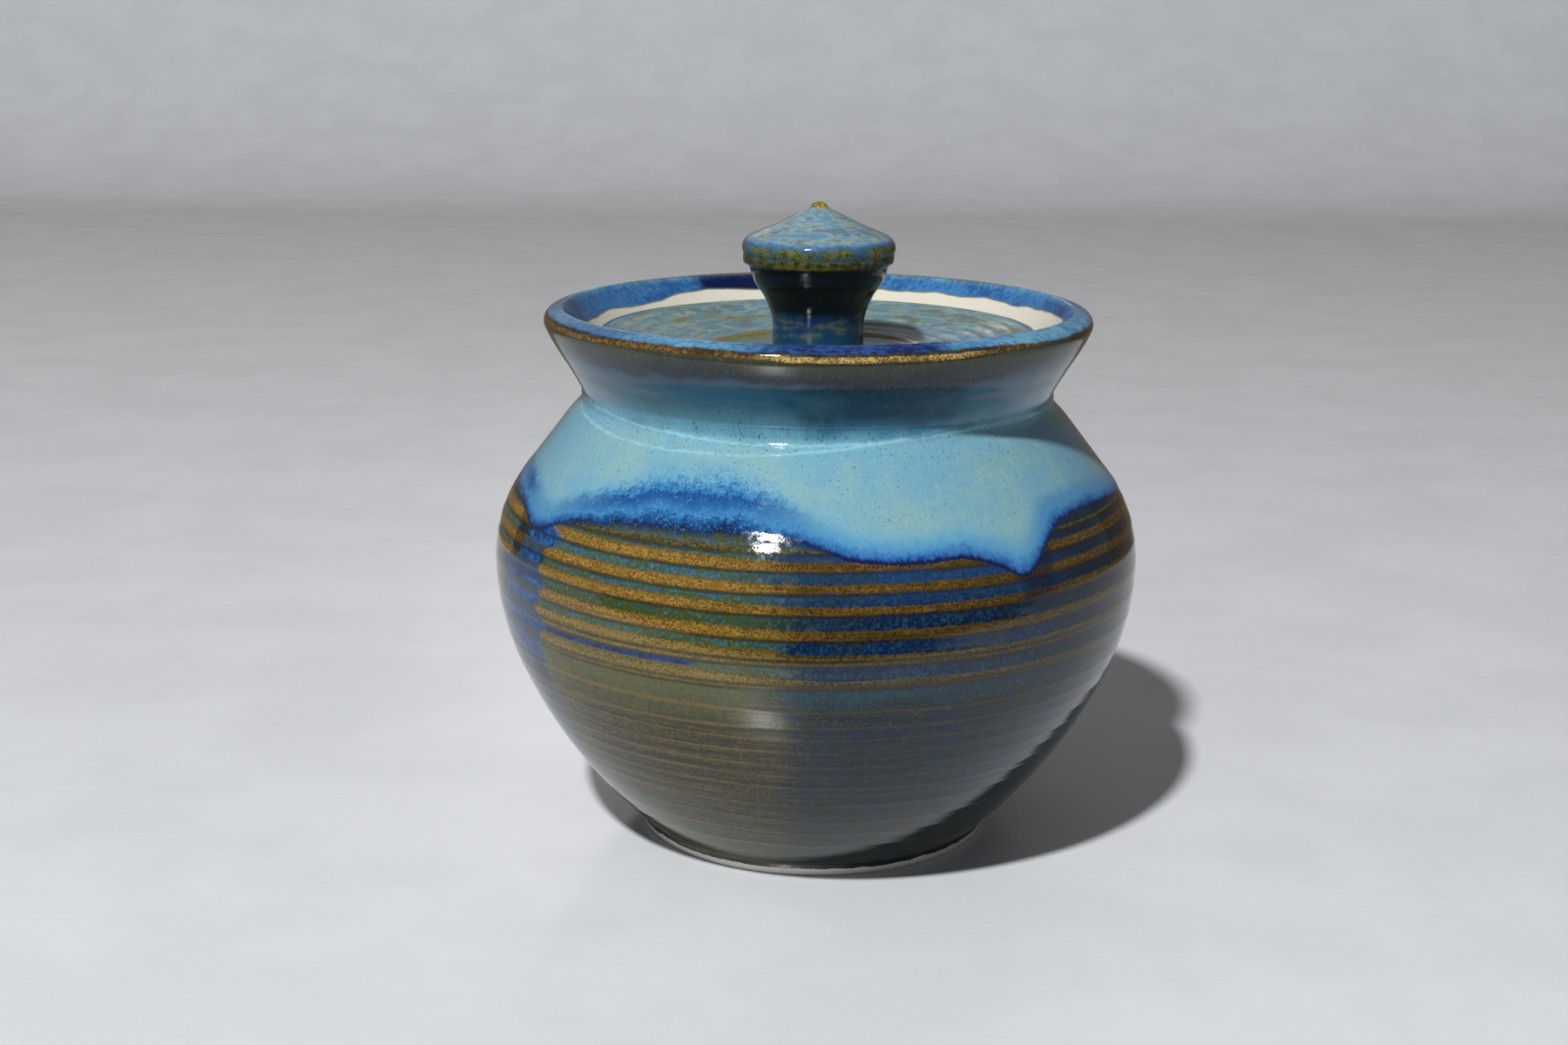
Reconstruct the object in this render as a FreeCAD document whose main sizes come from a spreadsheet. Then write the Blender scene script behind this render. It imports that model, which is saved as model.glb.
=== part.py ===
"""Wheel-thrown stoneware bean pot with a dished inset lid and a luted knob.

The pot stands on its foot ring at z = 0 and is round about the Z axis. The lid rests on the gallery, which
is the ledge inside the collar, and the knob is stuck to the middle of the lid. Lengths are in millimetres.
"""
import FreeCAD, Part
import os
from collections import namedtuple

import Sketcher

SIZES = {
    # Foot ring, trimmed on the wheel
    "foot_radius": 47.2,
    "foot_height": 3.5,
    "foot_top_radius": 48.2,
    "foot_ring_width": 8,
    "foot_recess": 3.5,
    "foot_draft": 1,
    "foot_bevel": 0.8,
    # Belly and shoulder
    "belly_radius": 86.2,
    "belly_height": 75.7,
    "lower_wall_curve": 133,
    "belly_curve": 67,
    "shoulder_curve": 36,
    "wall": 6,
    "floor_height": 12,
    # Throwing rings, counted down from the top one, which is measured up from the widest place
    "ring_top_height": 17.1,
    "ring_pitch": 4.7,
    "ring_pitch_growth": 0.48,
    "ring_depth": 0.45,
    # Neck, measured up from the widest place
    "neck_radius": 63,
    "neck_height": 42.3,
    "neck_band": 3.1,
    # Gallery that carries the lid, measured up from the neck
    "ledge_height": 10.1,
    "ledge_radius": 59.7,
    "ledge_thickness": 4.2,
    "ledge_bevel": 1,
    "throat_radius": 53.5,
    # Flared collar and beaded lip, measured up from the ledge
    "bead_radius": 72.2,
    "bead_height": 7.7,
    "bead_curve": 2.8,
    "rim_height": 11.2,
    "lip_radius": 67.4,
    "lip_bevel": 0.8,
    # Lid plate
    "lid_radius": 58.1,
    "lid_rim": 4.6,
    "lid_rim_flat": 2.5,
    "lid_bevel": 1.2,
    "lid_dish": 6.2,
    "lid_thickness": 5.2,
    "lid_clearance": 0.8,
    "locating_step": 2.2,
    "pad_radius": 17,
    "lid_ridge_radius": 29,
    "lid_ridge_width": 5,
    "lid_ridge_height": 0.8,
    # Knob
    "stem_foot_radius": 13.6,
    "stem_radius": 12.1,
    "stem_height": 6,
    "stem_curve": 17.8,
    "flare_height": 16.6,
    "stem_top_radius": 18.4,
    "stem_top_height": 23.3,
    "stem_top_curve": 14,
    "cap_edge_radius": 19.7,
    "cap_edge_height": 23.9,
    "cap_radius": 20.2,
    "cap_height": 27.2,
    "cap_rounding": 3.5,
    "nub_radius": 2.4,
    "nub_base_height": 38.1,
    "knob_height": 39.7,
}
RING_COUNT = 6
LOWER_BANDS = 4
BEAD_BANDS = 2
INSIDE_BANDS = 2
DISH_BANDS = 2
KNOB_BANDS = 2

# Heights above the table
NECK = "(Sizes.belly_height + Sizes.neck_height)"
NECK_TOP = f"({NECK} + Sizes.neck_band)"
LEDGE = f"({NECK_TOP} + Sizes.ledge_height)"
BEAD = f"({LEDGE} + Sizes.bead_height)"
RIM = f"({LEDGE} + Sizes.rim_height)"

# Heights above the middle of the lid's underside
SEAT = "(Sizes.lid_thickness + Sizes.lid_dish - Sizes.lid_rim)"
LID_TOP = "(Sizes.lid_thickness + Sizes.lid_dish)"

V = FreeCAD.Vector
Edge = namedtuple("Edge", "index start end")
ORIGIN = (-1, 1)
SAME_PLACE = 0.001

doc = FreeCAD.newDocument("BeanPot")
sheet = doc.addObject("Spreadsheet::Sheet", "Sizes")
for row, (alias, millimetres) in enumerate(SIZES.items(), start=1):
    sheet.set(f"A{row}", alias)
    sheet.set(f"B{row}", str(millimetres))
    sheet.setAlias(f"B{row}", alias)
doc.recompute()


# ---------------------------------------------------------------- sketching

def new_sketch(body, name):
    """A sketch on the half plane through the pot's axis: X is the radius and Y is the height."""
    sketch = body.newObject("Sketcher::SketchObject", name)
    plane = next(item for item in body.Origin.OriginFeatures if item.Role == "XZ_Plane")
    sketch.AttachmentSupport = [(plane, "")]
    sketch.MapMode = "FlatFace"
    return sketch


def number(expression):
    return float(sheet.evalExpression(expression))


def at(radius, height):
    """The point that two expressions give, where the solver starts from."""
    return V(number(radius), number(height), 0)


def line(sketch, start, end, construction=False):
    index = sketch.addGeometry(Part.LineSegment(start, end), construction)
    return Edge(index, (index, 1), (index, 2))


def arc(sketch, start, end, radius, construction=False):
    """An arc from start to end that bulges to the right of its way, or to the left if radius is negative.

    The solver keeps arcs anticlockwise, so one that bulges to the left is held from its end to its start.
    """
    chord = end - start
    right = V(chord.y, -chord.x, 0).normalize()
    bulge = (start + end) / 2 + right * (chord.Length**2 / 8 / radius)
    if radius > 0:
        index = sketch.addGeometry(Part.Arc(start, bulge, end), construction)
        return Edge(index, (index, 1), (index, 2))
    index = sketch.addGeometry(Part.Arc(end, bulge, start), construction)
    return Edge(index, (index, 2), (index, 1))


def bands(sketch, curve, count):
    """Straight bands of one length along a construction arc, like the passes of a potter's finger."""
    corners = sketch.Geometry[curve.index].toShape().discretize(count + 1)
    if curve.start == (curve.index, 2):
        corners.reverse()
    edges = [line(sketch, start, end) for start, end in zip(corners, corners[1:])]
    tie(sketch, "Coincident", *edges[0].start, *curve.start)
    for edge, following in zip(edges, edges[1:]):
        tie(sketch, "Coincident", *edge.end, *following.start)
        tie(sketch, "PointOnObject", *edge.end, curve.index)
        tie(sketch, "Equal", edge.index, following.index)
    tie(sketch, "Coincident", *edges[-1].end, *curve.end)


def centre(edge):
    return (edge.index, 3)


def tie(sketch, kind, *places):
    sketch.addConstraint(Sketcher.Constraint(kind, *places))


def on_base(sketch, point):
    """Keeps a point on the sketch's level axis, which Sketcher numbers -1."""
    tie(sketch, "PointOnObject", *point, -1)


def on_axis(sketch, point):
    """Keeps a point on the axis that the pot is turned about, which Sketcher numbers -2."""
    tie(sketch, "PointOnObject", *point, -2)


def size(sketch, kind, places, expression):
    """A dimension whose value comes from the sheet."""
    index = sketch.addConstraint(Sketcher.Constraint(kind, *places, number(expression)))
    name = f"size_{index}"
    sketch.renameConstraint(index, name)
    sketch.setExpression(f"Constraints.{name}", expression)


def place(sketch, point, radius, height):
    """Puts a point at a radius and a height, or on an axis where that is zero."""
    if radius == "0":
        on_axis(sketch, point)
    else:
        size(sketch, "DistanceX", ORIGIN + point, radius)
    if height == "0":
        on_base(sketch, point)
    else:
        size(sketch, "DistanceY", ORIGIN + point, height)


def close(sketch, edges, smooth=()):
    """Joins the edges end to end into one closed outline, with a tangent after each edge in smooth."""
    for edge, following in zip(edges, edges[1:] + edges[:1]):
        tie(sketch, "Tangent" if edge in smooth else "Coincident", *edge.end, *following.start)


def turn(body, sketch, kind, name):
    """Turns an outline about the pot's axis: a Revolution adds clay and a Groove trims it away."""
    feature = body.newObject(f"PartDesign::{kind}", name)
    feature.Profile = sketch
    feature.ReferenceAxis = (sketch, ["V_Axis"])
    feature.Angle = 360
    doc.recompute()
    return feature


def bevel(body, name, width, places):
    """Bevels the round edges that lie at the given places, each a radius and a height."""
    base = body.Tip
    spots = [at(*spot) for spot in places]
    found = []
    for count, edge in enumerate(base.Shape.Edges, start=1):
        if edge.Degenerated or not isinstance(edge.Curve, Part.Circle):
            continue
        here = V(edge.Curve.Radius, edge.Curve.Center.z, 0)
        if any(here.isEqual(spot, SAME_PLACE) for spot in spots):
            found.append(f"Edge{count}")
    feature = body.newObject("PartDesign::Chamfer", name)
    feature.Base = (base, found)
    feature.setExpression("Size", width)
    doc.recompute()


# ---------------------------------------------------------------- the pot

def wall_line(sketch):
    """Construction lines of the thrown wall: two arcs up to the widest place, one over it, then the slope."""
    foot = at("Sizes.foot_top_radius", "Sizes.foot_height")
    widest = at("Sizes.belly_radius", "Sizes.belly_height")
    neck = at("Sizes.neck_radius", NECK)
    lower_end = foot + V(0.86 * (widest.x - foot.x), 0.64 * (widest.y - foot.y), 0)
    shoulder_end = neck + V(0.68 * (widest.x - neck.x), 0.48 * (widest.y - neck.y), 0)

    lower = arc(sketch, foot, lower_end, number("Sizes.lower_wall_curve"), True)
    belly = arc(sketch, lower_end, widest, number("Sizes.belly_curve"), True)
    shoulder = arc(sketch, widest, shoulder_end, number("Sizes.shoulder_curve"), True)
    slope = line(sketch, shoulder_end, neck, True)

    place(sketch, lower.start, "Sizes.foot_top_radius", "Sizes.foot_height")
    size(sketch, "Radius", (lower.index,), "Sizes.lower_wall_curve")
    place(sketch, belly.end, "Sizes.belly_radius", "Sizes.belly_height")
    place(sketch, centre(belly), "Sizes.belly_radius - Sizes.belly_curve", "Sizes.belly_height")
    tie(sketch, "Tangent", *lower.end, *belly.start)
    tie(sketch, "Coincident", *shoulder.start, *belly.end)
    place(sketch, centre(shoulder), "Sizes.belly_radius - Sizes.shoulder_curve", "Sizes.belly_height")
    tie(sketch, "Tangent", *shoulder.end, *slope.start)
    place(sketch, slope.end, "Sizes.neck_radius", NECK)
    return lower, belly, shoulder, slope


def ring_drop(ring):
    """How far a throwing ring's crest is below the top one: the pitch grows a little from ring to ring."""
    growth = ring * (ring - 1) / 2
    return f"{ring} * Sizes.ring_pitch + {growth} * Sizes.ring_pitch_growth"


def ring_height(ring):
    return f"Sizes.belly_height + Sizes.ring_top_height - ({ring_drop(ring)})"


def draw_thrown_form(sketch):
    """The outside of the pot as one solid form: foot, ringed belly, shoulder, neck, collar and lip."""
    lower, belly, shoulder, slope = wall_line(sketch)
    foot = at("Sizes.foot_top_radius", "Sizes.foot_height")
    neck = at("Sizes.neck_radius", NECK)
    collar_base = at("Sizes.neck_radius", NECK_TOP)
    bead = at("Sizes.bead_radius", BEAD)
    bead_foot = bead - V(0.4, 1.2, 0) * number("Sizes.bead_curve")
    bead_head = bead + V(-0.5, 0.8, 0) * number("Sizes.bead_curve")
    lip = at("Sizes.lip_radius", RIM)

    base = line(sketch, V(0, 0, 0), at("Sizes.foot_radius", "0"))
    foot_side = line(sketch, at("Sizes.foot_radius", "0"), foot)
    place(sketch, base.start, "0", "0")
    place(sketch, base.end, "Sizes.foot_radius", "0")
    bands(sketch, lower, LOWER_BANDS)

    # A shallow finger groove under each ring's crest, from the lowest groove up
    grooves = []
    below = sketch.getPoint(*lower.end)
    for ring in reversed(range(RING_COUNT)):
        valley_height = f"({ring_height(ring)} + {ring_height(ring + 1)}) / 2"
        crest = at("Sizes.belly_radius", ring_height(ring))
        valley = at("Sizes.belly_radius - Sizes.ring_depth", valley_height)
        over_belly = valley.y > number("Sizes.belly_height")
        wall, curve = (shoulder, "Sizes.shoulder_curve") if over_belly else (belly, "Sizes.belly_curve")
        falling = line(sketch, below, valley)
        rising = line(sketch, valley, crest)
        size(sketch, "DistanceY", ORIGIN + falling.end, valley_height)
        size(sketch, "Distance", centre(wall) + falling.end, f"{curve} - Sizes.ring_depth")
        size(sketch, "DistanceY", ORIGIN + rising.end, ring_height(ring))
        tie(sketch, "PointOnObject", *rising.end, wall.index)
        grooves += [falling, rising]
        below = crest

    upper_band = line(sketch, below, sketch.getPoint(*shoulder.end))
    shoulder_side = line(sketch, sketch.getPoint(*shoulder.end), neck)
    neck_side = line(sketch, neck, collar_base)
    collar_side = line(sketch, collar_base, bead_foot)
    bead_round = arc(sketch, bead_foot, bead_head, number("Sizes.bead_curve"), True)
    lip_face = line(sketch, bead_head, lip)
    top = line(sketch, lip, V(0, lip.y, 0))
    axis = line(sketch, V(0, lip.y, 0), V(0, 0, 0))
    tie(sketch, "Coincident", *upper_band.end, *shoulder.end)
    tie(sketch, "Coincident", *shoulder_side.end, *slope.end)
    place(sketch, neck_side.end, "Sizes.neck_radius", NECK_TOP)
    size(sketch, "Radius", (bead_round.index,), "Sizes.bead_curve")
    place(sketch, centre(bead_round), "Sizes.bead_radius - Sizes.bead_curve", BEAD)
    bands(sketch, bead_round, BEAD_BANDS)
    place(sketch, lip_face.end, "Sizes.lip_radius", RIM)
    place(sketch, top.end, "0", RIM)
    close(sketch, [base, foot_side, lower, *grooves, upper_band, shoulder_side, neck_side, collar_side,
                   bead_round, lip_face, top, axis], smooth=[collar_side, bead_round])


def draw_hollow(sketch):
    """The inside of the pot: floor, wall of even thickness, the gallery's nose and ledge, and the collar."""
    lower, belly, shoulder, slope = wall_line(sketch)
    wall = V(number("Sizes.wall"), 0, 0)
    floor_edge = at("Sizes.foot_top_radius", "Sizes.floor_height")
    lower_end = sketch.getPoint(*lower.end) - wall
    widest = sketch.getPoint(*belly.end) - wall
    shoulder_end = sketch.getPoint(*shoulder.end) - wall
    neck_foot = at("Sizes.neck_radius - Sizes.wall", NECK)
    neck_top = at("Sizes.neck_radius - Sizes.wall", NECK_TOP)
    nose = at("Sizes.throat_radius", f"{LEDGE} - Sizes.ledge_thickness")
    nose_top = at("Sizes.throat_radius", LEDGE)
    ledge_back = at("Sizes.ledge_radius", LEDGE)
    lip = at("Sizes.lip_radius", RIM)
    above = lip + V(0, number("Sizes.wall"), 0)

    floor = line(sketch, V(0, floor_edge.y, 0), floor_edge)
    lower_wall = arc(sketch, floor_edge, lower_end, number("Sizes.lower_wall_curve"), True)
    belly_wall = arc(sketch, lower_end, widest, number("Sizes.belly_curve"), True)
    upper_wall = arc(sketch, widest, shoulder_end, number("Sizes.shoulder_curve"), True)
    for wall_curve in (lower_wall, belly_wall, upper_wall):
        bands(sketch, wall_curve, INSIDE_BANDS)
    shoulder_side = line(sketch, shoulder_end, neck_foot)
    neck_side = line(sketch, neck_foot, neck_top)
    nose_under = line(sketch, neck_top, nose)
    nose_side = line(sketch, nose, nose_top)
    ledge = line(sketch, nose_top, ledge_back)
    collar_side = line(sketch, ledge_back, lip)
    mouth_side = line(sketch, lip, above)
    mouth = line(sketch, above, V(0, above.y, 0))
    axis = line(sketch, V(0, above.y, 0), V(0, floor_edge.y, 0))
    close(sketch, [floor, lower_wall, belly_wall, upper_wall, shoulder_side, neck_side, nose_under,
                   nose_side, ledge, collar_side, mouth_side, mouth, axis])

    # Spokes through the tangent points of the outside hold the same points of the inside
    lower_spoke = line(sketch, sketch.getPoint(*centre(lower)), sketch.getPoint(*lower.end), True)
    upper_spoke = line(sketch, sketch.getPoint(*centre(shoulder)), sketch.getPoint(*shoulder.end), True)
    for spoke, curve in ((lower_spoke, lower), (upper_spoke, shoulder)):
        tie(sketch, "Coincident", *spoke.start, *centre(curve))
        tie(sketch, "Coincident", *spoke.end, *curve.end)
    for inside, outside in ((lower_wall, lower), (belly_wall, belly), (upper_wall, shoulder)):
        tie(sketch, "Coincident", *centre(inside), *centre(outside))
    place(sketch, floor.start, "0", "Sizes.floor_height")
    tie(sketch, "Horizontal", floor.index)
    tie(sketch, "PointOnObject", *lower_wall.end, lower_spoke.index)
    place(sketch, belly_wall.end, "Sizes.belly_radius - Sizes.wall", "Sizes.belly_height")
    tie(sketch, "PointOnObject", *upper_wall.end, upper_spoke.index)
    tie(sketch, "Parallel", shoulder_side.index, slope.index)
    size(sketch, "DistanceX", ORIGIN + neck_side.start, "Sizes.neck_radius - Sizes.wall")
    place(sketch, neck_side.end, "Sizes.neck_radius - Sizes.wall", NECK_TOP)
    place(sketch, nose_side.start, "Sizes.throat_radius", f"{LEDGE} - Sizes.ledge_thickness")
    place(sketch, nose_side.end, "Sizes.throat_radius", LEDGE)
    place(sketch, ledge.end, "Sizes.ledge_radius", LEDGE)
    place(sketch, collar_side.end, "Sizes.lip_radius", RIM)
    place(sketch, mouth_side.end, "Sizes.lip_radius", f"{RIM} + Sizes.wall")
    tie(sketch, "Horizontal", mouth.index)
    on_axis(sketch, mouth.end)


def draw_foot_recess(sketch):
    """The hollow trimmed out under the floor, which leaves a foot ring."""
    inner = at("Sizes.foot_radius - Sizes.foot_ring_width", "0")
    top = at("Sizes.foot_radius - Sizes.foot_ring_width - Sizes.foot_draft", "Sizes.foot_recess")
    base = line(sketch, V(0, 0, 0), inner)
    ring_side = line(sketch, inner, top)
    roof = line(sketch, top, V(0, top.y, 0))
    axis = line(sketch, V(0, top.y, 0), V(0, 0, 0))
    close(sketch, [base, ring_side, roof, axis])
    on_axis(sketch, base.start)
    place(sketch, ring_side.start, "Sizes.foot_radius - Sizes.foot_ring_width", "0")
    tie(sketch, "Horizontal", base.index)
    place(sketch, ring_side.end, "Sizes.foot_radius - Sizes.foot_ring_width - Sizes.foot_draft",
          "Sizes.foot_recess")
    tie(sketch, "Horizontal", roof.index)
    on_axis(sketch, roof.end)


def make_body(name, outlines):
    """A body of turned outlines, each given as a kind of feature, a name and the function that draws it."""
    body = doc.addObject("PartDesign::Body", name)
    body.Label = name
    for kind, feature_name, draw in outlines:
        sketch = new_sketch(body, f"{feature_name}_outline")
        draw(sketch)
        turn(body, sketch, kind, feature_name)
    return body


pot = make_body("pot_body", [
    ("Revolution", "thrown_form", draw_thrown_form),
    ("Groove", "hollow", draw_hollow),
    ("Groove", "foot_recess", draw_foot_recess),
])
bevel(pot, "foot_bevel", "Sizes.foot_bevel", [
    ("Sizes.foot_radius", "0"),
    ("Sizes.foot_radius - Sizes.foot_ring_width", "0"),
])
bevel(pot, "ledge_bevel", "Sizes.ledge_bevel", [("Sizes.throat_radius", LEDGE)])
bevel(pot, "lip_bevel", "Sizes.lip_bevel", [("Sizes.lip_radius", RIM)])


# ---------------------------------------------------------------- the lid plate

def draw_lid(sketch):
    """A shallow saucer. Its flat rim sits on the ledge and the step inside the rim locates it below."""
    locating = "Sizes.throat_radius - Sizes.lid_clearance"
    step = f"{SEAT} - Sizes.locating_step"
    dish_edge = "Sizes.lid_radius - Sizes.lid_rim_flat"
    dish_run = f"({dish_edge} - Sizes.pad_radius)"
    dish_curve = f"({dish_run}^2 + Sizes.lid_dish^2) / 2 / Sizes.lid_dish"
    ridge_outer = "Sizes.lid_ridge_radius + Sizes.lid_ridge_width / 2"
    ridge_inner = "Sizes.lid_ridge_radius - Sizes.lid_ridge_width / 2"
    ridge_curve = "Sizes.lid_ridge_width^2 / 8 / Sizes.lid_ridge_height"

    locating_foot = at(locating, step)
    locating_top = at(locating, SEAT)
    rim_foot = at("Sizes.lid_radius", SEAT)
    rim_top = at("Sizes.lid_radius", LID_TOP)
    dish_top = at(dish_edge, LID_TOP)
    ridge_far = at(ridge_outer, "Sizes.lid_thickness")
    ridge_near = at(ridge_inner, "Sizes.lid_thickness")
    pad_edge = at("Sizes.pad_radius", "Sizes.lid_thickness")

    under_pad = line(sketch, V(0, 0, 0), at("Sizes.pad_radius", "0"))
    under_slope = line(sketch, at("Sizes.pad_radius", "0"), locating_foot)
    locating_side = line(sketch, locating_foot, locating_top)
    seat = line(sketch, locating_top, rim_foot)
    rim_side = line(sketch, rim_foot, rim_top)
    rim_flat = line(sketch, rim_top, dish_top)
    outer_dish = arc(sketch, dish_top, ridge_far, -number(dish_curve), True)
    ridge = arc(sketch, ridge_far, ridge_near, number(ridge_curve), True)
    inner_dish = arc(sketch, ridge_near, pad_edge, -number(dish_curve), True)
    bands(sketch, outer_dish, DISH_BANDS)
    bands(sketch, ridge, DISH_BANDS)
    bands(sketch, inner_dish, 1)
    pad = line(sketch, pad_edge, V(0, pad_edge.y, 0))
    axis = line(sketch, V(0, pad_edge.y, 0), V(0, 0, 0))
    close(sketch, [under_pad, under_slope, locating_side, seat, rim_side, rim_flat, outer_dish, ridge,
                   inner_dish, pad, axis])

    place(sketch, under_pad.start, "0", "0")
    place(sketch, under_pad.end, "Sizes.pad_radius", "0")
    place(sketch, locating_side.start, locating, step)
    place(sketch, locating_side.end, locating, SEAT)
    place(sketch, rim_side.start, "Sizes.lid_radius", SEAT)
    place(sketch, rim_side.end, "Sizes.lid_radius", LID_TOP)
    place(sketch, rim_flat.end, dish_edge, LID_TOP)
    place(sketch, centre(outer_dish), "Sizes.pad_radius", f"Sizes.lid_thickness + {dish_curve}")
    size(sketch, "DistanceX", ORIGIN + ridge.start, ridge_outer)
    size(sketch, "DistanceX", ORIGIN + ridge.end, ridge_inner)
    size(sketch, "Radius", (ridge.index,), ridge_curve)
    tie(sketch, "Coincident", *centre(inner_dish), *centre(outer_dish))
    place(sketch, pad.start, "Sizes.pad_radius", "Sizes.lid_thickness")
    tie(sketch, "Horizontal", pad.index)
    on_axis(sketch, pad.end)


lid = make_body("lid_plate", [("Revolution", "thrown_lid", draw_lid)])
bevel(lid, "rim_bevel", "Sizes.lid_bevel", [
    ("Sizes.lid_radius", LID_TOP),
    ("Sizes.throat_radius - Sizes.lid_clearance", f"{SEAT} - Sizes.locating_step"),
])
lid.setExpression("Placement.Base.z", f"{LEDGE} - {SEAT}")


# ---------------------------------------------------------------- the knob

def draw_knob(sketch):
    """A waisted stem that flares up into a cap with a shallow cone on top and a small nub in its middle."""
    foot = at("Sizes.stem_foot_radius", "0")
    spread = number("Sizes.stem_foot_radius - Sizes.stem_radius")
    waist = at("Sizes.stem_radius", "Sizes.stem_foot_radius - Sizes.stem_radius")
    stem_end = at("Sizes.stem_radius", "Sizes.stem_height")
    flare = at("Sizes.stem_radius", "Sizes.flare_height") + V(2 * spread, 0, 0)
    stem_top = at("Sizes.stem_top_radius", "Sizes.stem_top_height")
    cap_edge = at("Sizes.cap_edge_radius", "Sizes.cap_edge_height")
    cap_side_top = at("Sizes.cap_radius", "Sizes.cap_height")
    cone_foot = cap_side_top + V(-0.5, 1, 0) * number("Sizes.cap_rounding / 2")
    nub_base = at("Sizes.nub_radius", "Sizes.nub_base_height")
    tip = at("0", "Sizes.knob_height")

    base = line(sketch, V(0, 0, 0), foot)
    luting = line(sketch, foot, waist)
    stem = line(sketch, waist, stem_end)
    lower_flare = arc(sketch, stem_end, flare, -number("Sizes.stem_curve"), True)
    upper_flare = arc(sketch, flare, stem_top, number("Sizes.stem_top_curve"), True)
    cap_under = line(sketch, stem_top, cap_edge)
    cap_side = line(sketch, cap_edge, cap_side_top)
    cap_round = arc(sketch, cap_side_top, cone_foot, number("Sizes.cap_rounding"), True)
    cone = line(sketch, cone_foot, nub_base)
    nub = arc(sketch, nub_base, tip, number("Sizes.nub_radius"), True)
    axis = line(sketch, tip, V(0, 0, 0))
    bands(sketch, lower_flare, KNOB_BANDS)
    bands(sketch, upper_flare, KNOB_BANDS)
    bands(sketch, cap_round, 1)
    bands(sketch, nub, 1)
    close(sketch, [base, luting, stem, lower_flare, upper_flare, cap_under, cap_side, cap_round, cone,
                   nub, axis], smooth=[cap_side, cap_round])

    place(sketch, base.start, "0", "0")
    place(sketch, base.end, "Sizes.stem_foot_radius", "0")
    place(sketch, stem.start, "Sizes.stem_radius", "Sizes.stem_foot_radius - Sizes.stem_radius")
    place(sketch, stem.end, "Sizes.stem_radius", "Sizes.stem_height")
    place(sketch, centre(lower_flare), "Sizes.stem_radius + Sizes.stem_curve", "Sizes.stem_height")
    size(sketch, "DistanceY", ORIGIN + upper_flare.start, "Sizes.flare_height")
    place(sketch, upper_flare.end, "Sizes.stem_top_radius", "Sizes.stem_top_height")
    size(sketch, "Radius", (upper_flare.index,), "Sizes.stem_top_curve")
    place(sketch, cap_side.start, "Sizes.cap_edge_radius", "Sizes.cap_edge_height")
    place(sketch, cap_side.end, "Sizes.cap_radius", "Sizes.cap_height")
    size(sketch, "Radius", (cap_round.index,), "Sizes.cap_rounding")
    place(sketch, cone.end, "Sizes.nub_radius", "Sizes.nub_base_height")
    on_axis(sketch, centre(nub))
    place(sketch, nub.end, "0", "Sizes.knob_height")


knob = make_body("lid_knob", [("Revolution", "thrown_knob", draw_knob)])
knob.setExpression("Placement.Base.z", f"{LEDGE} - {SEAT} + Sizes.lid_thickness")


# ---------------------------------------------------------------- checks and files

doc.recompute()
for item in doc.Objects:
    if "Invalid" in item.State or "Error" in item.State:
        raise RuntimeError(f"{item.Name} failed: {item.State}")

os.makedirs("parts", exist_ok=True)
for body in (pot, lid, knob):
    if body.Shape.isNull() or not body.Shape.isValid():
        raise RuntimeError(f"{body.Label} has no valid shape")
    body.Shape.exportStep(f"parts/{body.Label}.step")
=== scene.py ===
import math

import bmesh
import bpy
from mathutils import Matrix, Vector, noise


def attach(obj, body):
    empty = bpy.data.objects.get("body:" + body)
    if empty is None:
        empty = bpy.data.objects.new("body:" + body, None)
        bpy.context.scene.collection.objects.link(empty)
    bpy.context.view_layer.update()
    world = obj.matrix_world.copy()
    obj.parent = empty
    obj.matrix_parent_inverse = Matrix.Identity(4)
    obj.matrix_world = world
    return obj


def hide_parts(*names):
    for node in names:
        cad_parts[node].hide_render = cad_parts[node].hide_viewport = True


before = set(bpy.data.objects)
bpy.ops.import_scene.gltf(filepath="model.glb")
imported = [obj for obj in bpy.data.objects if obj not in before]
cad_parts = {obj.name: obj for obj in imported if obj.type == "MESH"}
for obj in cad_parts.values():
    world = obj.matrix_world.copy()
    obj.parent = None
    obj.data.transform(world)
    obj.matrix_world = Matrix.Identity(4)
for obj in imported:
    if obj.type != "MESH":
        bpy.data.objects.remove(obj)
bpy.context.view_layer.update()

# ---------------------------------------------------------------- the view
# A 50 mm lens a little above the rim, as someone sees the pot on a table in front of them. The pot stands
# just right of the middle, and the head is tipped by less than half a degree.

EYE = (0, -0.5734, 0.2239)
LOOKING_DOWN = 13.84
LOOKING_LEFT = 0.86
HEAD_TIPPED = 0.43

camera_data = bpy.data.cameras.new("camera")
camera_data.lens = 50
camera_data.sensor_width = 36
camera_data.clip_start = 0.01
camera = bpy.data.objects.new("camera", camera_data)
camera.matrix_world = (Matrix.Translation(EYE)
                       @ Matrix.Rotation(math.radians(LOOKING_LEFT), 4, "Z")
                       @ Matrix.Rotation(math.radians(90 - LOOKING_DOWN), 4, "X")
                       @ Matrix.Rotation(math.radians(HEAD_TIPPED), 4, "Z"))
bpy.context.scene.collection.objects.link(camera)
bpy.context.scene.camera = camera
bpy.context.scene.view_settings.view_transform = "Standard"

# ---------------------------------------------------------------- the pot
# One wall of stoneware, thrown on the wheel and trimmed to a foot ring. It was dipped in an iron glaze that
# breaks amber on the throwing rings, and its shoulder and collar were dipped again in a pale rutile blue.

MM = 0.001
FOOT_HEIGHT = 3.5
INSIDE_FLOOR = 12.0
LEDGE = 131.2
RIM_TOP = 142.2
# The wall sweeps round three centres: as it rises from the foot, round the belly and over the shoulder
RISE_CENTRE, BELLY_CENTRE, SHOULDER_CENTRE = (-41.439, 101.756), (19.2, 75.7), (50.2, 75.7)
BELLY_SWEEP, SHOULDER_SWEEP = 23.253, 37.714

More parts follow.
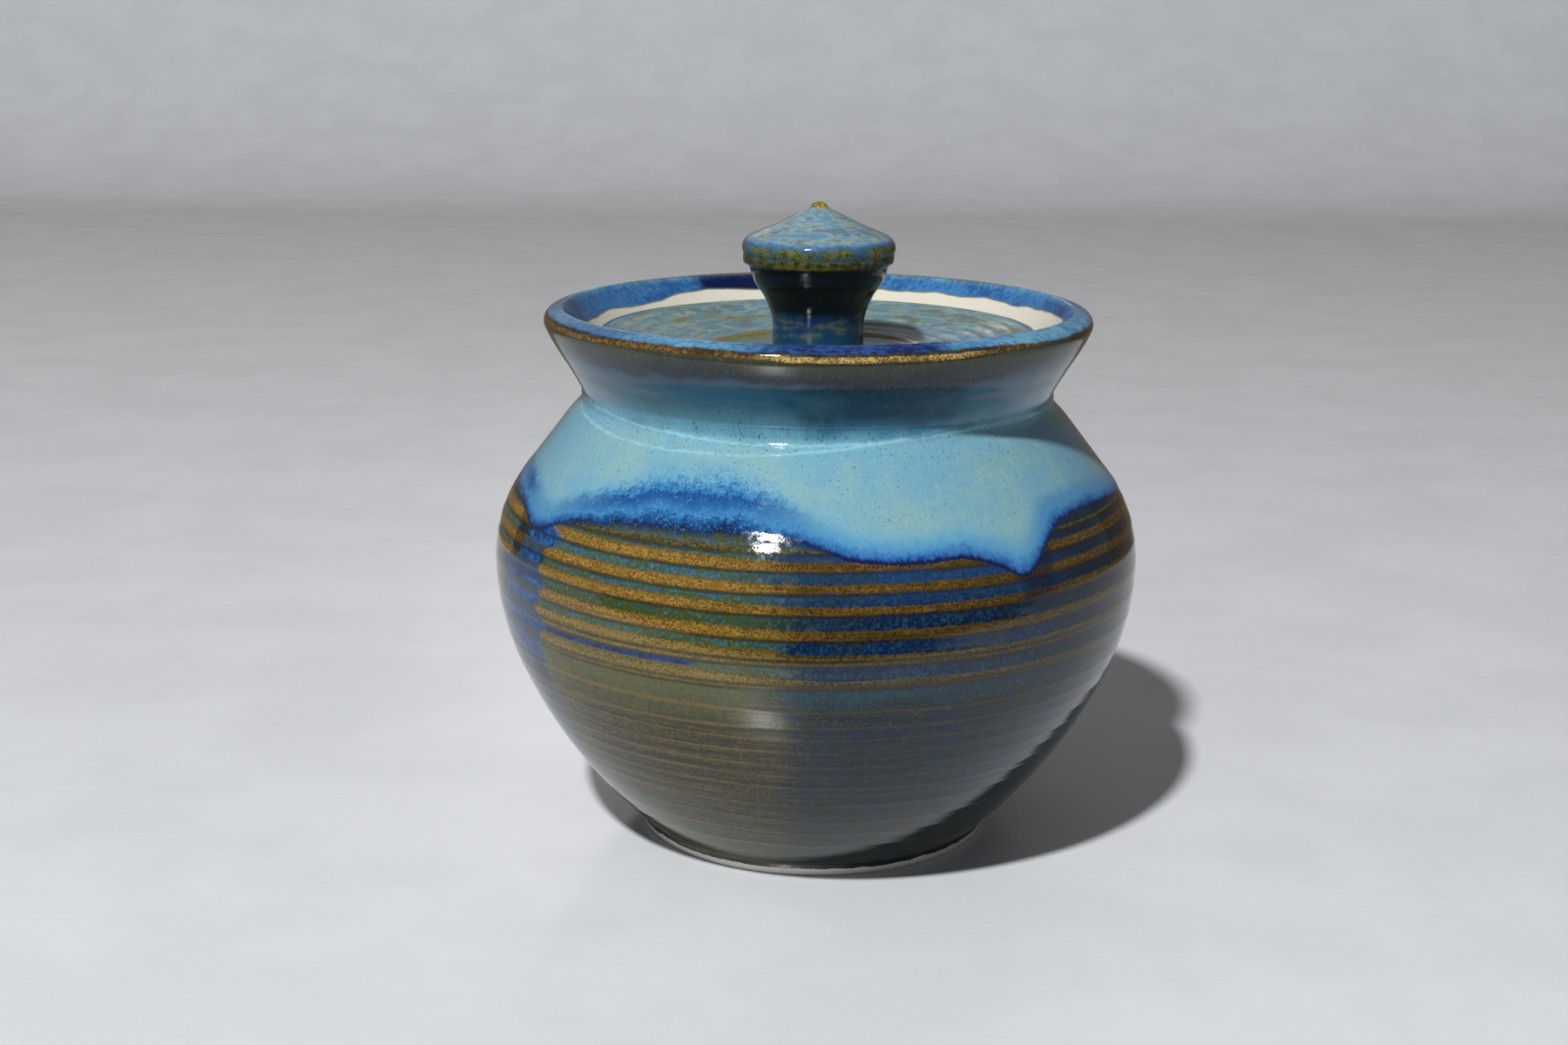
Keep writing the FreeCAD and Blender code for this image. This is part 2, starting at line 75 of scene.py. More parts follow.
# The throwing rings: height and half width where the iron is thin and warm, then where it lies thick and cool
RINGS = [(95.6, 0.6, 95.2, 0.3), (92.5, 1.3, 92.0, 1.0), (87.4, 1.3, 87.2, 1.05), (82.7, 1.25, 82.2, 1.0),
         (77.0, 1.45, 76.3, 1.15), (72.0, 1.3, 70.9, 0.6), (69.9, 0.8, 69.9, 1.0), (65.5, 1.4, 64.5, 0.6),
         (63.6, 0.7, 63.9, 0.9), (57.0, 0.7, 56.4, 0.6)]
TOOL_LINES = [(60.0, 0.4, 60.6, 0.3), (52.0, 0.6, 52.1, 0.5), (48.8, 0.5, 48.4, 0.5), (45.1, 0.45, 44.5, 0.5),
              (41.2, 0.55, 40.3, 0.5), (37.8, 0.4, 36.9, 0.4), (34.2, 0.45, 33.0, 0.5),
              (30.7, 0.4, 30.9, 0.3), (27.8, 0.5, 27.3, 0.5), (22.6, 0.45, 21.0, 0.5), (17.6, 0.5, 16.5, 0.5),
              (12.1, 0.5, 11.5, 0.5)]

# Where the second dip ends: bearing in degrees, with the front at -90, and height
DIP_EDGE = [(-176, 96.3), (-167, 95.2), (-161, 94.6), (-157, 93.8), (-153, 92.2), (-150, 91.0), (-146, 91.3),
            (-143, 93.2), (-140, 94.6), (-134, 95.8), (-128, 96.8), (-118, 97.4), (-110, 97.6), (-100, 97.6),
            (-94, 97.0), (-89, 95.6), (-85, 93.5), (-80, 92.4), (-72, 92.0), (-65, 92.4), (-61, 91.2),
            (-57, 88.8), (-55, 87.1), (-53, 86.3), (-50.6, 88.0), (-48, 91.2), (-44, 94.8), (-40, 96.6),
            (-30, 97.2), (-20, 96.4), (-8, 94.6), (5, 93.7), (18, 95.4), (30, 96.6), (42, 94.2), (50, 90.1),
            (54, 87.7), (59, 90.4), (68, 94.9), (85, 96.8), (100, 97.9), (115, 96.2), (128, 93.4),
            (138, 90.5), (143, 89.8), (148, 92.4), (158, 96.4), (170, 97.2)]
# How far the blue reaches above that edge, and how much iron has bled up into it there
FRINGE = [(-176, 6), (-166, 6), (-158, 6), (-150, 7), (-143, 6.5), (-137, 6.2), (-130, 7.4), (-124, 8.8),
          (-118, 9.6), (-110, 9.8), (-103, 9.6), (-97, 8.4), (-91, 6.6), (-85, 7.4), (-75, 7), (-60, 7.5),
          (-53, 9), (-47, 7.5), (-38, 6), (-20, 6), (10, 6), (40, 6.5), (56, 8.5), (75, 9.5), (92, 10),
          (108, 8), (125, 6), (150, 6)]
BLEED = [(-170, 0.6), (-161, 1), (-154, 0.4), (-146, 0.35), (-138, 0.7), (-128, 1), (-104, 1), (-95, 0.6),
         (-87, 0.1), (-78, 0), (-53, 0), (-42, 0.35), (-25, 0.2), (0, 0), (45, 0), (66, 0.7), (80, 1),
         (95, 1), (110, 0.4), (125, 0), (165, 0)]
# How deep the blue lies on the lip and inside the collar
DEEP_BLUE = [(-158, 0.45), (-138, 0.52), (-118, 0.3), (-106, 0.42), (-92, 0.85), (-80, 1), (-70, 0.85),
             (-62, 0.4), (-54, 0.1), (-44, 0), (-20, 0.1), (5, 0.4), (22, 0.3), (40, 0.1), (75, 0), (90, 0.4),
             (98, 0.95), (114, 1), (122, 0.5), (130, 0.1), (150, 0.2), (172, 0.4)]
# How broad the gold is under the lip
GILT = [(-165, 0.5), (-145, 0.6), (-128, 0.45), (-112, 0.5), (-104, 0.55), (-95, 0.9), (-84, 1), (-64, 0.95),
        (-54, 0.55), (-42, 0.25), (-25, 0.1), (0, 0.3), (40, 0.7), (90, 0.8), (130, 0.6)]
# The inside is dipped all over, as if it lay this far above the dip's edge: in millimetres, then in fringes
INSIDE_ABOVE = 60
INSIDE_FRINGES = 9

# How far each coat or mark stands out from the wall or sinks into it, in millimetres. The whole skin is
# set in a little from the solid's outline, which leaves room for the hand's waver.
SKIN_INSET = 0.08
HAND_WAVER = 0.07
RING_DEPTH = 0.07
TOOL_DEPTH = 0.04
SECOND_COAT = 0.1
ROLLED_EDGE = 0.08
DRIP = 0.35
NECK_CREASE = 0.3
COLLAR_HOLLOW = 0.35
COLLAR_SWELL = 0.4
FINGER_GROOVE = 0.06
# How far the rings sway up and down on their way round, and the half width of the dark line under each
RING_SWAY = 0.3
RING_FOOT = 0.55


def between(low, high, value):
    """Rises smoothly from 0 at low to 1 at high."""
    share = min(max((value - low) / (high - low), 0), 1)
    return share * share * (3 - 2 * share)


def bump_at(value, centre, half_width):
    """A soft hump: 1 at the centre and about a third at half_width from it."""
    return math.exp(-((value - centre) / half_width) ** 2)


def all_round(stations, bearing):
    """The smooth closed curve through stations, each a bearing and a value, read at one bearing."""
    count = len(stations)
    after = next((i for i, station in enumerate(stations) if station[0] > bearing), 0)
    picked = [stations[(after + k) % count] for k in (-2, -1, 0, 1)]
    gaps = [(b[0] - a[0]) % 360 for a, b in zip(picked, picked[1:])]
    share = ((bearing - picked[1][0]) % 360) / gaps[1]
    before, start, end, beyond = (station[1] for station in picked)
    slope_in = (end - before) / (gaps[0] + gaps[1]) * gaps[1]
    slope_out = (beyond - start) / (gaps[1] + gaps[2]) * gaps[1]
    cubed, squared = share ** 3, share ** 2
    return ((2 * cubed - 3 * squared + 1) * start + (cubed - 2 * squared + share) * slope_in
            + (3 * squared - 2 * cubed) * end + (cubed - squared) * slope_out)


def nearest_ring(rings, height, cool, sunk=0):
    """How near a height is to a ring: 1 on its middle, 0.5 on its edge, 0 a full width away.

    cool runs from the warm side's rings, 0, to the cool side's, 1. With sunk, it is the narrow line under
    each ring that counts, and sunk is its half width.
    """
    best = 0
    for warm_at, warm_half, cool_at, cool_half in rings:
        at = warm_at + (cool_at - warm_at) * cool
        half = warm_half + (cool_half - warm_half) * cool
        if sunk:
            at, half = at - half - sunk / 2, sunk
        best = max(best, 1 - abs(height - at) / (2 * half))
    return best


class Profile:
    """The outline of a turned piece, drawn anticlockwise from the middle of its underside, in millimetres."""

    def __init__(self, radius, height):
        self.form = bmesh.new()
        self.tip = self.form.verts.new(Vector((radius, 0, height)) * MM)

    def line(self, radius, height, steps=1):
        """Draws on in a straight line."""
        step = (Vector((radius, 0, height)) * MM - self.tip.co) / steps
        for _ in range(steps):
            self.tip = bmesh.ops.extrude_vert_indiv(self.form, verts=[self.tip])["verts"][0]
            bmesh.ops.translate(self.form, verts=[self.tip], vec=step)

    def arc(self, radius, height, degrees, steps):
        """Draws on round a centre, anticlockwise if degrees is positive."""
        turn = Matrix.Rotation(-math.radians(degrees) / steps, 3, "Y")
        for _ in range(steps):
            self.tip = bmesh.ops.extrude_vert_indiv(self.form, verts=[self.tip])["verts"][0]
            bmesh.ops.rotate(self.form, verts=[self.tip], cent=Vector((radius, 0, height)) * MM, matrix=turn)

    def measure(self):
        """Numbers each point by its distance along the outline, in millimetres."""
        along = self.form.verts.layers.float.new("along")
        self.form.verts.ensure_lookup_table()
        run = 0
        for last, point in zip(self.form.verts, self.form.verts[1:]):
            run += (point.co - last.co).length / MM
            point[along] = run
        return along

    def turn(self, steps):
        """Turns the outline about the wheel's axis into a closed skin."""
        form = self.form
        bmesh.ops.spin(form, geom=form.verts[:] + form.edges[:], cent=(0, 0, 0), axis=(0, 0, 1),
                       angle=math.tau, steps=steps, use_merge=True, use_duplicate=False)
        bmesh.ops.remove_doubles(form, verts=form.verts, dist=MM / 1000)
        bmesh.ops.recalc_face_normals(form, faces=form.faces)
        for face in form.faces:
            face.smooth = True
        form.normal_update()
        return form


def make_piece(name, form, body, node, material):
    """Makes the finished skin an object that stands for its CAD node."""
    mesh = bpy.data.meshes.new(name)
    form.to_mesh(mesh)
    form.free()
    piece = bpy.data.objects.new(name, mesh)
    bpy.context.scene.collection.objects.link(piece)
    mesh.materials.append(material)
    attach(piece, body)
    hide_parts(node)


def shade(red, green, blue):
    """A colour as the eye sees it, 0 to 255, made linear for a shader."""
    return tuple((c / 255 + 0.055) ** 2.4 / 1.055 ** 2.4 if c > 10 else c / 3294.6
                 for c in (red, green, blue)) + (1,)


class Finish:
    """A material being mixed, with a short call for each kind of node that a fired surface needs."""

    def __init__(self, name, roughness):
        self.material = bpy.data.materials.new(name)
        self.material.use_nodes = True
        self.nodes = self.material.node_tree.nodes
        self.shader = self.nodes["Principled BSDF"]
        self.shader.inputs["Roughness"].default_value = roughness
        self.shader.inputs["IOR"].default_value = 1.5
        self.place = self.nodes.new("ShaderNodeTexCoord").outputs["Object"]

    def feed(self, socket, value):
        """Links a node's output to a socket, or sets the socket to a plain value."""
        if isinstance(value, bpy.types.NodeSocket):
            self.material.node_tree.links.new(value, socket)
        else:
            socket.default_value = value

    def add(self, kind, *values, out=0, **settings):
        """Adds a node with its inputs in order, None to leave one as it is, and gives one output back."""
        node = self.nodes.new(kind)
        for name, setting in settings.items():
            setattr(node, name, setting)
        for socket, value in zip(node.inputs, values):
            if value is not None:
                self.feed(socket, value)
        return node.outputs[out]

    def calc(self, operation, *values):
        """Works out one step of arithmetic."""
        return self.add("ShaderNodeMath", *values, operation=operation)

    def times(self, value, other):
        """One value times another."""
        return self.calc("MULTIPLY", value, other)

    def away(self, value, middle):
        """How far a value is from a middle, on either side."""
        return self.calc("ABSOLUTE", self.calc("SUBTRACT", value, middle))

    def total(self, value, *parts):
        """A value plus each part, a pattern from 0 to 1 and how far it may push the value either way."""
        for pattern, push in parts:
            value = self.calc("MULTIPLY_ADD", self.calc("SUBTRACT", pattern, 0.5), 2.0 * push, value)
        return value

    def measure(self, name):
        """A measure that the form's points carry."""
        return self.add("ShaderNodeAttribute", attribute_name=name, out=2)

    def split(self, vector):
        """A vector's three parts: to the right, to the back and up."""
        return self.add("ShaderNodeSeparateXYZ", vector).node.outputs

    def rise(self, value, low, high, most=1.0):
        """0 below low, most above high and smooth between; the other way round if low is above high."""
        return self.add("ShaderNodeMapRange", value, low, high, 0.0, most, interpolation_type="SMOOTHSTEP")

    def mottle(self, size, seed, stretch=(1, 1, 1), detail=3.0, place=None):
        """Noise with spots about size millimetres across, from 0 to 1."""
        scale = [1 / (size * MM * pull) for pull in stretch]
        shift = (seed, seed * 1.7, -seed)
        moved = self.add("ShaderNodeMapping", place or self.place, shift, (0, 0, 0), scale)
        return self.add("ShaderNodeTexNoise", moved, None, 1.0, detail, 0.6)

    def lay(self, amount, under, over):
        """One colour laid over another."""
        node = self.nodes.new("ShaderNodeMix")
        node.data_type = "RGBA"
        for socket, value in ((0, amount), (6, under), (7, over)):
            self.feed(node.inputs[socket], value)
        return node.outputs[2]

    def tint(self, under, over, value, low, high, most=1.0):
        """One colour laid over another where a value rises from low to high."""
        return self.lay(self.rise(value, low, high, most), under, over)

    def speckle(self, pattern, dark, light, low=0.38, high=0.62):
        """Two shades mixed by a pattern."""
        return self.tint(shade(*dark), shade(*light), pattern, low, high)

    def heights(self, value, stops):
        """Colours along a value, each stop a number and a colour."""
        node = self.nodes.new("ShaderNodeValToRGB")
        low, high = stops[0][0], stops[-1][0]
        elements = node.color_ramp.elements
        while len(elements) < len(stops):
            elements.new(0.5)
        for element, (number, colour) in zip(elements, stops):
            element.position = (number - low) / (high - low)
            element.color = shade(*colour)
        self.feed(node.inputs[0], self.add("ShaderNodeMapRange", value, low, high, 0.0, 1.0))
        return node.outputs[0]

    def surface(self, colour, relief, distance):
        """Gives the shader its colour and a relief too fine for the form, distance in millimetres."""
        self.feed(self.shader.inputs["Base Color"], colour)
        bump = self.nodes.new("ShaderNodeBump")
        bump.inputs["Distance"].default_value = distance * MM
        self.feed(bump.inputs["Height"], relief)
        self.feed(self.shader.inputs["Normal"], bump.outputs[0])


# The foot ring, the outside up to the lip, and the inside down to the floor
wall = Profile(0, FOOT_HEIGHT)
wall.line(38.4, FOOT_HEIGHT, 5)
wall.line(39.1, 2.9)
wall.line(39.2, 0.8, 2)
wall.arc(40.0, 0.8, 90, 3)
wall.line(46.6, 0, 4)
wall.arc(46.6, 0.7, 74, 4)
wall.line(48.2, FOOT_HEIGHT, 6)
wall.arc(*RISE_CENTRE, 24.372, 96)
wall.arc(*BELLY_CENTRE, BELLY_SWEEP, 58)
wall.arc(*SHOULDER_CENTRE, SHOULDER_SWEEP, 52)
wall.line(63.4, 117.5, 42)
wall.line(63.0, 118.2)
wall.line(63.0, 121.0, 5)
wall.line(71.87, 137.58, 26)
wall.arc(69.4, 138.9, 101.85, 12)
wall.line(68.094, 142.197, 4)
wall.arc(67.815, 141.237, 71.75, 5)
wall.line(59.7, LEDGE, 16)
wall.line(54.5, LEDGE, 4)
wall.arc(54.5, 130.2, 90, 4)
wall.line(53.5, 127.0, 2)
wall.line(57.0, 121.1, 3)
wall.line(57.0, 116.0, 2)
wall.line(73.93, 94.05, 6)
wall.arc(*SHOULDER_CENTRE, -SHOULDER_SWEEP, 8)
wall.arc(*BELLY_CENTRE, -BELLY_SWEEP, 8)
wall.arc(*RISE_CENTRE, -20.4, 12)
wall.line(45.6, INSIDE_FLOOR, 2)
wall.line(0, INSIDE_FLOOR, 6)

# How far up the outside each point is. It goes on growing past the lip, down the inside, and is below 0
# under the foot.
foot_side = 47 * MM
along = wall.measure()
start_of_wall = next(v[along] for v in wall.form.verts if v.co.x > foot_side)
top_of_rim = max(wall.form.verts, key=lambda v: v.co.z)[along]
climb = wall.form.verts.layers.float.new("climb")
for point in wall.form.verts:
    if point[along] < start_of_wall:
        point[climb] = point[along] - start_of_wall
    elif point[along] < top_of_rim:
        point[climb] = point.co.z / MM
    else:
        point[climb] = RIM_TOP + point[along] - top_of_rim

pot_form = wall.turn(steps=240)
layers = pot_form.verts.layers.float
ring, ring_foot, tool_line = layers.new("ring"), layers.new("ring_foot"), layers.new("tool_line")
streak, under_drip = layers.new("streak"), layers.new("under_drip")
above_edge, fringe, bleed = layers.new("above_edge"), layers.new("fringe"), layers.new("bleed")
warm, wash = layers.new("warm"), layers.new("wash")
front, deep, gilt = layers.new("front"), layers.new("deep"), layers.new("gilt")

# What each point knows for the glaze, and how far it is moved
for point in pot_form.verts:
    height = point.co.z / MM
    bearing = math.degrees(math.atan2(point.co.y, point.co.x))
    outer_side = point[climb] < RIM_TOP
    cool = between(-112, -86, bearing) * between(70, 45, bearing)
    waver = height + RING_SWAY * noise.noise(Vector((point.co.x * 25, point.co.y * 25, 0.3)))
    edge = all_round(DIP_EDGE, bearing)
    point[above_edge] = height - edge if outer_side else INSIDE_ABOVE
    point[fringe] = (height - edge) / all_round(FRINGE, bearing) if outer_side else INSIDE_FRINGES
    point[bleed] = all_round(BLEED, bearing)
    point[ring] = nearest_ring(RINGS, waver, cool)
    point[ring_foot] = nearest_ring(RINGS[:-1], waver, cool, sunk=RING_FOOT)
    point[tool_line] = nearest_ring(TOOL_LINES, waver, cool)
    point[streak] = between(-146, -141, bearing) * between(-106, -116, bearing)
    shift = noise.noise(Vector((height * 0.4, 3.1, 0.2)))
    started = bearing - 2 * between(78, 93, height) + 3.5 * shift
    from_left = between(-146, -142, started)
    left_half = 0.5 * between(-92, -114, bearing) + 0.5 * between(-87, -97, bearing + 5 * shift)
    point[warm] = (from_left * left_half
                   + between(-153, -158, bearing) + between(152, 176, bearing + 9 * shift)
                   + between(42, 68, bearing + 9 * shift) * between(138, 112, bearing + 12 * shift))
    point[wash] = (bump_at(started, -148, 4.8) + 0.6 * bump_at(bearing, -157, 8) * between(85, 80, height)
                   + bump_at(bearing, 141, 7)) * between(48, 66, height)
    point[under_drip] = (bump_at(bearing, -50, 5) + bump_at(bearing, 54, 5)) * between(74, 80, height)
    point[front] = bump_at(bearing, -76, 30)
    point[deep] = all_round(DEEP_BLUE, bearing)
    point[gilt] = all_round(GILT, bearing)
    if not outer_side or point[climb] < FOOT_HEIGHT:
        continue
    ringed = between(52, 62, height) * between(97, 89, height)
    relief = (-RING_DEPTH * ringed * between(0.85, 0.15, point[ring])
              - TOOL_DEPTH * (1 - ringed) * between(0.8, 0.2, max(point[tool_line], point[ring]))
              * between(66, 58, height)
              + HAND_WAVER * noise.noise(Vector((point.co.x * 14, point.co.y * 14, point.co.z * 30))))
    relief -= SKIN_INSET
    above = point[above_edge]
    coat = SECOND_COAT * between(0, 1.4, above) + ROLLED_EDGE * bump_at(above, 1.9, 1.5)
    drip = DRIP * (bump_at(bearing, -53, 3) + bump_at(bearing, 54, 3.5)) * bump_at(above, 2.5, 2.5)
    relief += (coat + drip) * between(130, 112, height)
    crease_at = 116.8 - 0.3 * math.sin(math.radians(bearing + 60))
    relief -= NECK_CREASE * bump_at(height, crease_at, 1.9)
    relief += COLLAR_SWELL * bump_at(height, 134.5, 4.5) - COLLAR_HOLLOW * bump_at(height, 122.5, 4.5)
    relief -= FINGER_GROOVE * (bump_at(height, 128.2, 1.1) + bump_at(height, 133.6, 1.0))
    point.co += point.normal * (relief * MM * between(FOOT_HEIGHT, 6, point[climb]))

# Where in a pattern a soft break between two shades starts and ends
SOFT = (0.34, 0.68)

glaze = Finish("iron_and_rutile_glaze", roughness=0.12)
climb, over, share = glaze.measure("climb"), glaze.measure("above_edge"), glaze.measure("fringe")
ring, ring_foot, tool_line = glaze.measure("ring"), glaze.measure("ring_foot"), glaze.measure("tool_line")
wash, bleed = glaze.measure("wash"), glaze.measure("bleed")
front, deep, gilt = glaze.measure("front"), glaze.measure("deep"), glaze.measure("gilt")

dust = glaze.mottle(0.5, seed=1.0, detail=2.0)
crystal = glaze.mottle(0.8, seed=1.4, detail=2.0)
grain = glaze.mottle(1.6, seed=2.0)
cloud = glaze.mottle(7, seed=3.0)
drift = glaze.mottle(26, seed=4.0)
running = glaze.mottle(0.7, seed=5.0, stretch=(1, 1, 4))
belt = glaze.mottle(0.9, seed=6.0, stretch=(40, 40, 1), detail=4.0)
warm = glaze.rise(glaze.total(glaze.measure("warm"), (cloud, 0.3), (grain, 0.25)), 0.2, 0.8)

# The iron glaze: amber where it is thin over a ring, blue or olive where it pools between two
coarse = glaze.total(crystal, (dust, 0.35))
mossy = glaze.total(grain, (coarse, 0.4), (cloud, 0.25))
pooled_warm = glaze.heights(climb, [
    (58, (86, 86, 50)), (66, (84, 84, 46)), (72, (62, 78, 44)), (78, (58, 66, 22)), (82, (60, 70, 30)),
    (84, (62, 74, 40)), (90, (60, 78, 54)), (97, (66, 70, 32))])
teal_warm = glaze.heights(climb, [
    (60, (78, 86, 60)), (66, (64, 88, 76)), (72, (56, 96, 104)), (79, (34, 70, 66)), (84, (40, 82, 100)),
    (90, (44, 88, 118)), (98, (46, 76, 92))])
pooled_warm = glaze.tint(pooled_warm, teal_warm, mossy, 0.44, 0.6, most=0.9)
pooled_warm = glaze.tint(pooled_warm, shade(114, 106, 54), coarse, 0.58, 0.76, most=0.75)
pooled_warm = glaze.tint(pooled_warm, shade(24, 40, 36), coarse, 0.42, 0.26, most=0.6)
pooled_cool = glaze.heights(glaze.total(climb, (cloud, 1.5)), [
    (58, (32, 60, 66)), (64, (22, 44, 60)), (68, (8, 25, 58)), (72, (12, 32, 68)), (78, (8, 26, 50)),
    (82, (10, 33, 63)), (86, (18, 47, 86)), (92, (24, 54, 94))])
pooled_cool = glaze.tint(pooled_cool, shade(34, 70, 80), mossy, 0.46, 0.66, most=0.45)
pooled_cool = glaze.tint(pooled_cool, shade(28, 44, 48), drift, 0.5, 0.62, most=0.5)
pooled_cool = glaze.tint(pooled_cool, shade(4, 12, 30), coarse, 0.42, 0.24, most=0.65)
pooled_cool = glaze.tint(pooled_cool, shade(36, 74, 116),
                         glaze.total(dust, (crystal, 0.3)), 0.54, 0.7, most=0.5)
# The cool grooves turn near black away from the front: on the right side and at the back
pooled_cool = glaze.tint(pooled_cool, shade(12, 24, 28), front, 0.6, 0.15, most=0.8)
pooled = glaze.lay(warm, pooled_cool, pooled_warm)
# On each ring it thins to amber, and streaks of gold run round
thin = glaze.total(ring, (dust, 0.16), (crystal, 0.24), (grain, 0.2), (cloud, 0.2))
streaked = glaze.total(dust, (crystal, 0.18), (belt, 0.22), (cloud, 0.1))
gold = glaze.speckle(streaked, (90, 62, 18), (164, 128, 62), *SOFT)
gold = glaze.tint(gold, glaze.speckle(streaked, (66, 60, 18), (116, 106, 42), *SOFT),
                  mossy, 0.48, 0.64, most=0.7)
gold = glaze.tint(gold, shade(98, 60, 16),
                  glaze.total(belt, (cloud, 0.5), (crystal, 0.2)), 0.54, 0.7, most=0.5)
gold = glaze.tint(gold, glaze.speckle(streaked, (78, 72, 34), (128, 114, 62), 0.33, 0.69),
                  climb, 76, 69, most=0.75)
gold_cool = glaze.speckle(streaked, (48, 30, 4), (118, 86, 30), 0.33, 0.69)
gold_cool = glaze.tint(gold_cool, shade(46, 48, 18), mossy, 0.46, 0.62, most=0.7)
gold_cool = glaze.tint(gold_cool, glaze.speckle(streaked, (32, 34, 20), (84, 78, 46)),
                       climb, 79, 70, most=0.7)
gold = glaze.lay(warm, gold_cool, gold)
gold = glaze.tint(gold, shade(76, 56, 18), thin, 0.78, 0.5, most=0.55)
gold = glaze.tint(gold, glaze.speckle(coarse, (28, 36, 28), (86, 80, 44), *SOFT), climb, 94.2, 94.9, most=0.9)
# Between two rings at this height the warm side stays thin all the way
between_two = glaze.times(glaze.rise(climb, 68.9, 69.3), glaze.rise(climb, 73.2, 72.6))
thin = glaze.calc("MAXIMUM", thin, glaze.times(warm, between_two))
broken = glaze.tint(pooled, gold, thin, 0.38, 0.58)
edge_line = glaze.rise(glaze.total(ring_foot, (dust, 0.3), (grain, 0.25), (cloud, 0.4)),
                       0.45, 0.85, most=0.62)
broken = glaze.lay(edge_line, broken, shade(34, 24, 8))
streak_at = glaze.away(glaze.total(climb, (cloud, 0.25)), 67.9)
streak = glaze.times(glaze.rise(streak_at, 0.8, 0.5), glaze.rise(glaze.measure("streak"), 0.1, 0.6))
broken = glaze.lay(streak, broken, glaze.speckle(grain, (8, 26, 76), (30, 56, 104)))
stained = glaze.rise(glaze.total(glaze.measure("under_drip"), (cloud, 0.3), (grain, 0.2)),
                     0.35, 0.85, most=0.55)
broken = glaze.lay(stained, broken, shade(6, 16, 34))

# Lower down the iron lies dull, and only the fine tool lines break through it
falling = glaze.mottle(2.2, seed=5.5, stretch=(1, 1, 7))
dull_warm = glaze.speckle(glaze.total(belt, (dust, 0.3), (crystal, 0.25)), (34, 33, 8), (86, 75, 36), *SOFT)
dull_warm = glaze.tint(dull_warm, shade(36, 46, 26), glaze.total(falling, (grain, 0.3)), 0.42, 0.62, most=0.6)
dull_warm = glaze.tint(dull_warm, glaze.speckle(mossy, (98, 90, 50), (60, 74, 54), 0.44, 0.62),
                       glaze.total(climb, (cloud, 6)), 46, 60, most=0.7)
dull_cool = glaze.speckle(glaze.total(belt, (dust, 0.3), (crystal, 0.25)), (2, 20, 28), (32, 50, 44), *SOFT)
dull_cool = glaze.tint(dull_cool, shade(4, 32, 62), glaze.total(falling, (cloud, 0.5)), 0.44, 0.64, most=0.7)
dull_cool = glaze.tint(dull_cool, shade(42, 46, 40), climb, 30, 12, most=0.6)
dull = glaze.lay(warm, dull_cool, dull_warm)
dull = glaze.tint(dull, shade(108, 102, 64), coarse, 0.6, 0.78, most=0.3)
dull = glaze.tint(dull, shade(22, 26, 18), coarse, 0.4, 0.24, most=0.4)
scratched = glaze.total(glaze.calc("MAXIMUM", tool_line, ring), (dust, 0.25), (cloud, 0.25), (belt, 0.25))
fine_line = glaze.lay(warm, shade(70, 58, 30), shade(116, 94, 52))
dull = glaze.tint(dull, fine_line, scratched, 0.5, 0.95, most=0.7)
iron = glaze.tint(dull, broken, glaze.total(climb, (cloud, 5)), 56, 63)

# Blue that ran down out of the second dip
washed = glaze.speckle(glaze.total(grain, (dust, 0.3), (cloud, 0.4)), (14, 46, 92), (38, 90, 142), 0.32, 0.68)
dimmed = glaze.times(glaze.rise(glaze.total(ring, (grain, 0.3)), 0.35, 0.85, most=0.8),
                     glaze.rise(climb, 91, 88.5))
washed = glaze.lay(dimmed, washed, shade(50, 60, 52))
washed = glaze.lay(glaze.times(edge_line, glaze.rise(climb, 76, 80)), washed, shade(6, 14, 36))
washed_line = glaze.away(glaze.total(climb, (grain, 0.3)), 80.2)
washed = glaze.tint(washed, shade(10, 24, 50), washed_line, 1.1, 0.5, most=0.7)
ran = glaze.rise(glaze.total(wash, (grain, 0.2), (cloud, 0.35), (belt, 0.3)), 0.26, 0.66)
iron = glaze.lay(ran, iron, washed)

# The second dip: pale over the shoulder, bluer towards its edge and nearly black where it ends
pale = glaze.speckle(glaze.total(drift, (cloud, 0.2)), (106, 153, 171), (123, 160, 161), 0.36, 0.66)
pale = glaze.tint(pale, shade(92, 146, 172), running, 0.42, 0.7, most=0.5)
pale = glaze.tint(pale, shade(140, 170, 164),
                  glaze.mottle(1.6, seed=7.0, stretch=(1, 1, 2)), 0.54, 0.7, most=0.35)
fleck = glaze.total(glaze.mottle(0.65, seed=7.5, stretch=(1, 1, 1.5), detail=1.0), (cloud, 0.06))
pale = glaze.tint(pale, shade(40, 96, 144),
                  glaze.calc("MULTIPLY_ADD", glaze.rise(climb, 108, 122), 0.07, fleck), 0.66, 0.76, most=0.75)
blurred = glaze.total(share, (running, 0.2), (grain, 0.14), (cloud, 0.16))
tide = glaze.heights(blurred, [
    (0.0, (12, 28, 84)), (0.13, (26, 66, 124)), (0.28, (48, 104, 160)), (0.5, (74, 134, 174)),
    (0.8, (96, 150, 174)), (1.1, (108, 154, 170))])
smoke = glaze.total(0.0, (dust, 0.3), (crystal, 0.15), (grain, 0.4), (cloud, 0.6))
bled = glaze.heights(glaze.calc("MULTIPLY_ADD", smoke, 0.5, share), [
    (0.0, (12, 24, 58)), (0.1, (14, 40, 84)), (0.26, (24, 76, 128)), (0.45, (54, 118, 166)),
    (0.62, (34, 90, 146)), (0.82, (18, 70, 128)), (1.0, (52, 116, 164)), (1.22, (98, 150, 176))])
bled = glaze.tint(bled, shade(8, 38, 84), glaze.total(dust, (grain, 0.25)), 0.52, 0.26, most=0.55)
bled = glaze.tint(bled, shade(96, 152, 186), glaze.total(dust, (crystal, 0.3)), 0.58, 0.72, most=0.45)
tide = glaze.lay(bleed, tide, bled)
spread = glaze.calc("MULTIPLY_ADD", bleed, -0.4, blurred)
